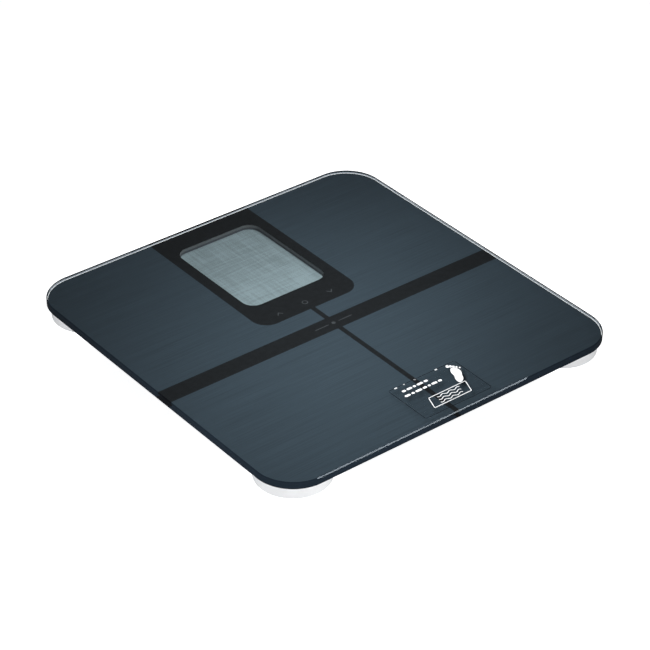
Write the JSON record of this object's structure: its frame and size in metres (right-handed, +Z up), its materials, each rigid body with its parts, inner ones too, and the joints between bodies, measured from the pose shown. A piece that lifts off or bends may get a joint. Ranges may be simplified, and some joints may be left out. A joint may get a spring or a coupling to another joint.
{
  "type": "digital bathroom scale",
  "caption": "Flat square glass bathroom scale with a black and slate print, a rear display window, touch keys and sprung round feet on load cells.",
  "frame": {"origin": "on the floor under the middle of the glass platform", "axes": "+Z up; +Y towards the display at the rear edge; +X to the right of a person who faces the display"},
  "size_m": [0.3, 0.3, 0.0211],
  "materials": {
    "clear_glass": "polished tempered glass",
    "slate_ink": "satin screen print, slate blue",
    "black_ink": "satin screen print, black",
    "grey_ink": "satin screen print, grey",
    "clear_film": "clear gloss film",
    "white_housing": "satin moulded white",
    "foot_rubber": "matt grey elastomer",
    "cell_steel": "zinc-plated plate",
    "cable_jacket": "satin white jacket",
    "gauge_potting": "white silicone potting",
    "adhesive_foam": "closed-cell foam tape",
    "grey_frame": "satin grey",
    "dark_bezel": "satin dark grey",
    "display_glass": "glass display cell, unlit, satin polariser",
    "reflector_film": "satin film",
    "zebra_rubber": "layered silicone",
    "circuit_board": "green solder mask",
    "chip_epoxy": "black epoxy",
    "spring_brass": "bright wire",
    "contact_steel": "nickel plate",
    "white_nylon": "natural nylon",
    "switch_black": "black",
    "grey_button": "satin grey",
    "cell_can": "coin cell can",
    "lead_jacket": "satin red jacket"
  },
  "bodies": {
    "platform": {"glass_platform": "clear_glass", "slate_ink": "slate_ink", "black_ink": "black_ink", "grey_ink_marks": "grey_ink", "film_label": "clear_film", "foot_housing_rear_left": "white_housing", "foot_collar_rear_left": "white_housing", "cable_duct_rear_left": "white_housing", "load_cell_rear_left": "cell_steel", "cell_cable_rear_left": "cable_jacket", "foot_housing_rear_right": "white_housing", "foot_collar_rear_right": "white_housing", "cable_duct_rear_right": "white_housing", "load_cell_rear_right": "cell_steel", "cell_cable_rear_right": "cable_jacket", "foot_housing_front_left": "white_housing", "foot_collar_front_left": "white_housing", "cable_duct_front_left": "white_housing", "load_cell_front_left": "cell_steel", "cell_cable_front_left": "cable_jacket", "foot_housing_front_right": "white_housing", "foot_collar_front_right": "white_housing", "cable_duct_front_right": "white_housing", "load_cell_front_right": "cell_steel", "cell_cable_front_right": "cable_jacket", "strain_gauges": "gauge_potting", "foot_tapes": "adhesive_foam", "housing_gasket": "adhesive_foam", "display_frame": "grey_frame", "lcd_bezel": "dark_bezel", "lcd_panel": "display_glass", "lcd_reflector": "reflector_film", "zebra_strip": "zebra_rubber", "main_board": "circuit_board", "switch_board": "circuit_board", "control_chip": "chip_epoxy", "key_springs": "spring_brass", "contact_negative": "contact_steel", "contact_positive": "contact_steel", "cover_screws": "contact_steel", "cable_socket_left": "white_nylon", "cable_socket_right": "white_nylon", "unit_switch": "switch_black", "rear_cover": "white_housing", "battery_left": "cell_can", "battery_right": "cell_can", "battery_leads": "lead_jacket", "switch_lead": "lead_jacket"},
    "foot_rear_left": {"foot_carrier_rear_left": "white_housing", "foot_pad_rear_left": "foot_rubber"},
    "foot_rear_right": {"foot_carrier_rear_right": "white_housing", "foot_pad_rear_right": "foot_rubber"},
    "foot_front_left": {"foot_carrier_front_left": "white_housing", "foot_pad_front_left": "foot_rubber"},
    "foot_front_right": {"foot_carrier_front_right": "white_housing", "foot_pad_front_right": "foot_rubber"},
    "battery_door": {"battery_door": "white_housing", "door_bridge": "contact_steel"},
    "unit_button": {"unit_button": "grey_button", "unit_plunger": "switch_black"}
  },
  "joints": [
    {"name": "foot_rear_left_press", "type": "slide", "parent": "platform", "child": "foot_rear_left", "axis": [0, 0, 1], "range_m": [0, 0.0007], "stiffness_N_per_m": 20000, "springref_m": -0.0005},
    {"name": "foot_rear_right_press", "type": "slide", "parent": "platform", "child": "foot_rear_right", "axis": [0, 0, 1], "range_m": [0, 0.0007], "stiffness_N_per_m": 20000, "springref_m": -0.0005},
    {"name": "foot_front_left_press", "type": "slide", "parent": "platform", "child": "foot_front_left", "axis": [0, 0, 1], "range_m": [0, 0.0007], "stiffness_N_per_m": 20000, "springref_m": -0.0005},
    {"name": "foot_front_right_press", "type": "slide", "parent": "platform", "child": "foot_front_right", "axis": [0, 0, 1], "range_m": [0, 0.0007], "stiffness_N_per_m": 20000, "springref_m": -0.0005},
    {"name": "battery_door_hinge", "type": "hinge", "parent": "platform", "child": "battery_door", "pos_m": [0, -0.0098, 0.0056], "axis": [1, 0, 0], "range_deg": [0, 85]},
    {"name": "unit_button_press", "type": "slide", "parent": "platform", "child": "unit_button", "axis": [0, 0, 1], "range_m": [0, 0.0005], "stiffness_N_per_m": 3000, "springref_m": -0.0002}
  ]
}
